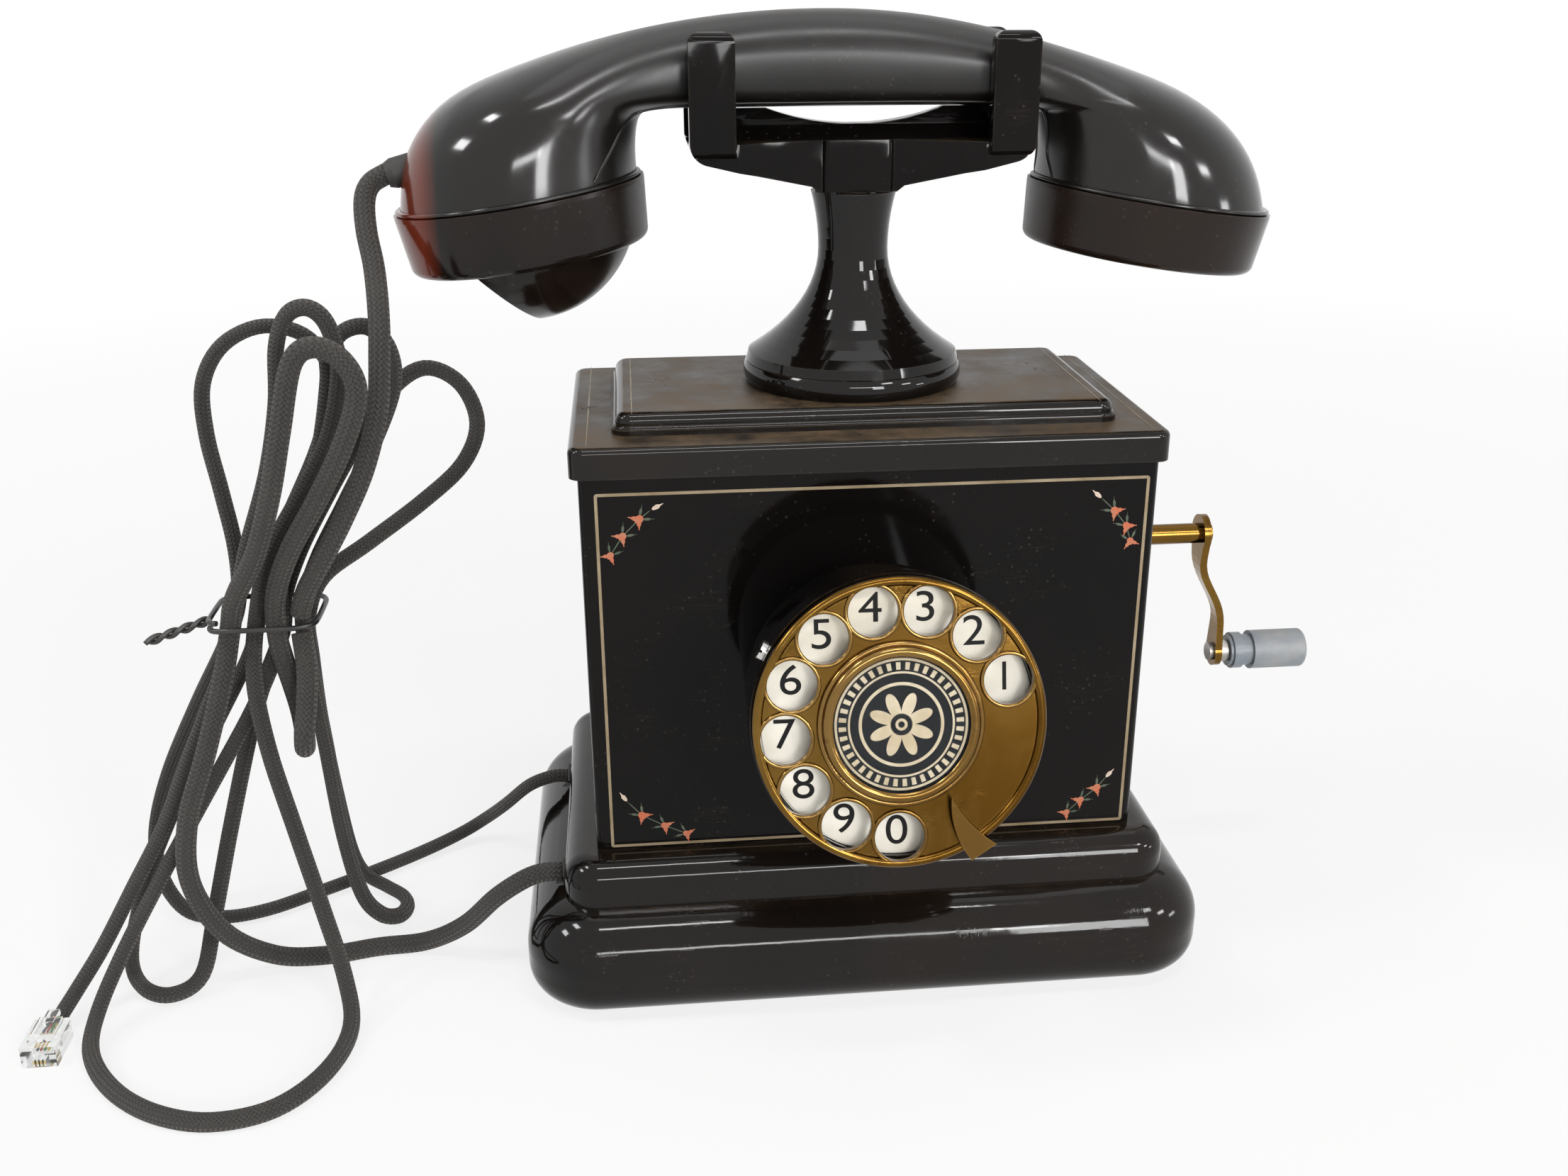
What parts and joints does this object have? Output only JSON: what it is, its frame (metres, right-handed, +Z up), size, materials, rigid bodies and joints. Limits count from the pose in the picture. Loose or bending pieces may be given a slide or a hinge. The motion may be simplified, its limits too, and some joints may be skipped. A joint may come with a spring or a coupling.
{
  "type": "rotary dial telephone",
  "caption": "Desk telephone with a tilted rotary dial on its case, a hand crank magneto, a handset on a sprung cradle and a bound hank of braided cord.",
  "frame": {"origin": "on the table, under the middle of the base", "axes": "+X towards the crank, -Y towards the person dialling, +Z up"},
  "size_m": [0.3941, 0.1753, 0.2784],
  "materials": {
    "black_lacquer": "glossy black lacquer",
    "bakelite": "polished black phenolic",
    "base_moulding": "glossy black moulded base",
    "black_moulding": "moulded insulating block",
    "polished_brass": "worn and polished",
    "sheet_brass": "plain",
    "steel": "plain",
    "plated_steel": "nickel plated",
    "magnet_steel": "dark",
    "laminations": "plain",
    "coil_winding": "enamelled wire",
    "capsule_case": "plain",
    "white_enamel": "glossy vitreous enamel",
    "printed_card": "printed card",
    "clear_window": "clear",
    "rubber": "plain",
    "knob_grey": "worn grey enamel",
    "braided_cotton": "braided",
    "tie_wire": "coated wire",
    "clear_plastic": "clear",
    "gold_contacts": "gold plated"
  },
  "bodies": {
    "case": {"base_plinth": "base_moulding", "bottom_plate": "steel", "rubber_feet": "rubber", "bottom_screws": "steel", "case_body": "black_lacquer", "case_screws": "steel", "lid": "black_lacquer", "lid_screws": "steel", "pedestal": "black_lacquer", "pedestal_nut": "steel", "dial_housing": "black_lacquer", "housing_screws": "steel", "dial_side_screw": "plated_steel", "dial_frame": "steel", "number_plate": "white_enamel", "finger_stop": "polished_brass", "crank_bushing": "sheet_brass", "magnets": "magnet_steel", "pole_pieces": "laminations", "magneto_end_plates": "sheet_brass", "ringer_frame": "steel", "ringer_coils": "coil_winding", "gong_left": "plated_steel", "gong_right": "plated_steel", "induction_coil": "coil_winding", "capacitor": "plated_steel", "terminal_block": "black_moulding", "handset_cord_gland": "rubber", "line_cord_gland": "rubber", "hook_switch": "black_moulding", "handset_cord_drop": "braided_cotton", "handset_cord": "braided_cotton", "line_cord": "braided_cotton", "cord_tie": "tie_wire", "modular_plug": "clear_plastic", "plug_contacts": "gold_contacts"},
    "cradle": {"cradle_yoke": "black_lacquer", "cradle_stem": "steel", "return_spring": "steel"},
    "handset": {"handset_shell": "bakelite", "transmitter_cap": "bakelite", "receiver_cap": "bakelite", "transmitter_capsule": "capsule_case", "receiver_capsule": "capsule_case", "handset_grommet": "rubber"},
    "dial": {"finger_wheel": "polished_brass", "card_ring": "polished_brass", "centre_card": "printed_card", "card_window": "clear_window", "dial_shaft": "steel", "dial_gear": "sheet_brass", "dial_spring": "steel"},
    "impulse": {"impulse_wheel": "sheet_brass"},
    "crank": {"crank_shaft": "polished_brass", "crank_arm": "polished_brass", "drive_gear": "sheet_brass", "knob_pin": "steel"},
    "knob": {"crank_knob": "knob_grey"},
    "armature": {"armature": "laminations"},
    "clapper": {"clapper": "steel"}
  },
  "joints": [
    {"name": "cradle_slide", "type": "slide", "parent": "case", "child": "cradle", "axis": [0, 0, 1], "range_m": [0, 0.004], "stiffness_N_per_m": 250, "springref_m": 0.03, "deforming": ["return_spring"]},
    {"name": "handset_lift", "type": "slide", "parent": "cradle", "child": "handset", "axis": [0, 0, 1], "range_m": [0, 0.05]},
    {"name": "dial_spin", "type": "hinge", "parent": "case", "child": "dial", "pos_m": [0, -0.0965, 0.1083], "axis": [0, 0.9736, -0.2283], "range_deg": [0, 314], "stiffness_Nm_per_rad": 0.003, "springref_deg": -34.38},
    {"name": "impulse_spin", "type": "hinge", "parent": "case", "child": "impulse", "pos_m": [0.021, -0.0965, 0.1083], "axis": [0, 0.9736, -0.2283], "range_deg": [-1260, 4]},
    {"name": "crank_turn", "type": "hinge", "parent": "case", "child": "crank", "pos_m": [0.1, 0, 0.122], "axis": [1, 0, 0], "continuous": true},
    {"name": "knob_spin", "type": "hinge", "parent": "crank", "child": "knob", "pos_m": [0.13, 0, 0.081], "axis": [1, 0, 0], "continuous": true},
    {"name": "armature_spin", "type": "hinge", "parent": "case", "child": "armature", "pos_m": [0.04, 0, 0.092], "axis": [1, 0, 0], "continuous": true},
    {"name": "clapper_swing", "type": "hinge", "parent": "case", "child": "clapper", "pos_m": [-0.032, 0, 0.0945], "axis": [0, 1, 0], "range_deg": [-5, 5]}
  ],
  "couplings": [
    {"joint": "impulse_spin", "follows": "dial_spin", "ratio": -4},
    {"joint": "armature_spin", "follows": "crank_turn", "ratio": -4}
  ]
}
